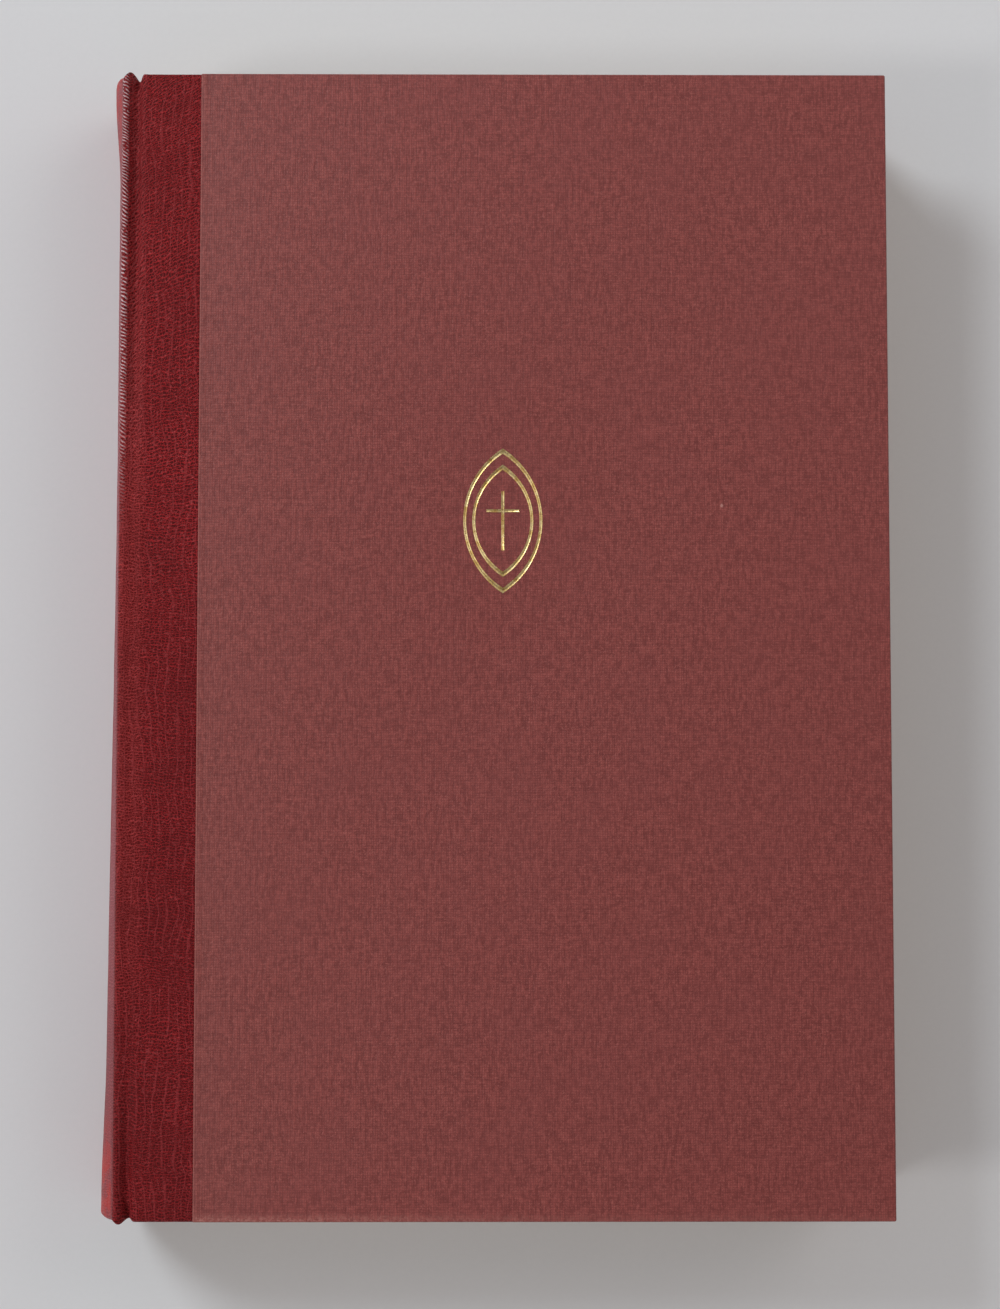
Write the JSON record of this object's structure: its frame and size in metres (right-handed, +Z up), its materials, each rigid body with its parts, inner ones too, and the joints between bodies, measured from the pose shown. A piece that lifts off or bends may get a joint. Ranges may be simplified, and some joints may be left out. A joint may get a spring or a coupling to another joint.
{
  "type": "prayer book",
  "caption": "Closed quarter-leather hardback prayer book with a rounded leather spine, cloth sides, gilt line ornament, hinged covers and turning leaves.",
  "frame": {"origin": "middle of the book's underside, at the height of the surface that it lies on", "axes": "+X from the spine to the fore-edge, +Y from the tail to the head, +Z up out of the front cover"},
  "size_m": [0.1644, 0.24, 0.028],
  "materials": {
    "leather": "satin, fine pebble grain",
    "book_cloth": "matt woven book cloth",
    "gilt": "blocked gold foil, bright",
    "board": "matt grey-brown board",
    "endpaper": "matt laid paper",
    "paper": "matt text paper",
    "card": "matt card",
    "lining_paper": "matt kraft paper",
    "mull": "open starched gauze",
    "linen_tape": "woven linen tape",
    "linen_thread": "waxed linen thread",
    "headband_silk": "silk thread over a core"
  },
  "bodies": {
    "text_block": {"back_flyleaf": "endpaper", "head_kettle_stitch": "linen_thread", "head_tape": "linen_tape", "headband": "headband_silk", "middle_tape": "linen_tape", "mull": "mull", "section_07": "paper", "section_08": "paper", "section_09": "paper", "section_10": "paper", "section_11": "paper", "section_12": "paper", "section_13": "paper", "section_14": "paper", "sewn_folds": "paper", "spine_leather": "leather", "spine_lining": "lining_paper", "spine_stiffener": "card", "tail_kettle_stitch": "linen_thread", "tail_tape": "linen_tape", "tailband": "headband_silk"},
    "front_cover": {"front_board": "board", "front_cloth": "book_cloth", "front_leather": "leather", "front_pastedown": "endpaper", "gilt_cross": "gilt", "gilt_inner_oval": "gilt", "gilt_outer_oval": "gilt"},
    "back_cover": {"back_board": "board", "back_cloth": "book_cloth", "back_leather": "leather", "back_pastedown": "endpaper"},
    "front_flyleaf": {"front_flyleaf": "endpaper"},
    "section_01": {"section_01": "paper"},
    "section_02": {"section_02": "paper"},
    "section_03": {"section_03": "paper"},
    "section_04": {"section_04": "paper"},
    "section_05": {"section_05": "paper"},
    "section_06": {"section_06": "paper"}
  },
  "joints": [
    {"name": "front_cover_hinge", "type": "hinge", "parent": "text_block", "child": "front_cover", "pos_m": [-0.07745, 0, 0.02625], "axis": [0, -1, 0], "range_deg": [0, 179]},
    {"name": "back_cover_hinge", "type": "hinge", "parent": "text_block", "child": "back_cover", "pos_m": [-0.07745, 0, 0.00165], "axis": [0, 1, 0], "range_deg": [0, 180]},
    {"name": "front_flyleaf_turn", "type": "hinge", "parent": "text_block", "child": "front_flyleaf", "pos_m": [-0.072, 0, 0.0245], "axis": [0, -1, 0], "range_deg": [0, 143.2]},
    {"name": "section_01_turn", "type": "hinge", "parent": "text_block", "child": "section_01", "pos_m": [-0.0715, 0, 0.0242], "axis": [0, -1, 0], "range_deg": [0, 121.72]},
    {"name": "section_02_turn", "type": "hinge", "parent": "text_block", "child": "section_02", "pos_m": [-0.06983, 0, 0.02273], "axis": [0, -1, 0], "range_deg": [0, 100.24]},
    {"name": "section_03_turn", "type": "hinge", "parent": "text_block", "child": "section_03", "pos_m": [-0.06872, 0, 0.02126], "axis": [0, -1, 0], "range_deg": [0, 78.76]},
    {"name": "section_04_turn", "type": "hinge", "parent": "text_block", "child": "section_04", "pos_m": [-0.06805, 0, 0.01979], "axis": [0, -1, 0], "range_deg": [0, 57.28]},
    {"name": "section_05_turn", "type": "hinge", "parent": "text_block", "child": "section_05", "pos_m": [-0.06781, 0, 0.01831], "axis": [0, -1, 0], "range_deg": [0, 35.8]},
    {"name": "section_06_turn", "type": "hinge", "parent": "text_block", "child": "section_06", "pos_m": [-0.06771, 0, 0.01684], "axis": [0, -1, 0], "range_deg": [0, 17.9]}
  ],
  "couplings": [
    {"joint": "front_flyleaf_turn", "follows": "front_cover_hinge", "ratio": 0.8},
    {"joint": "section_01_turn", "follows": "front_cover_hinge", "ratio": 0.68},
    {"joint": "section_02_turn", "follows": "front_cover_hinge", "ratio": 0.56},
    {"joint": "section_03_turn", "follows": "front_cover_hinge", "ratio": 0.44},
    {"joint": "section_04_turn", "follows": "front_cover_hinge", "ratio": 0.32},
    {"joint": "section_05_turn", "follows": "front_cover_hinge", "ratio": 0.2},
    {"joint": "section_06_turn", "follows": "front_cover_hinge", "ratio": 0.1}
  ]
}
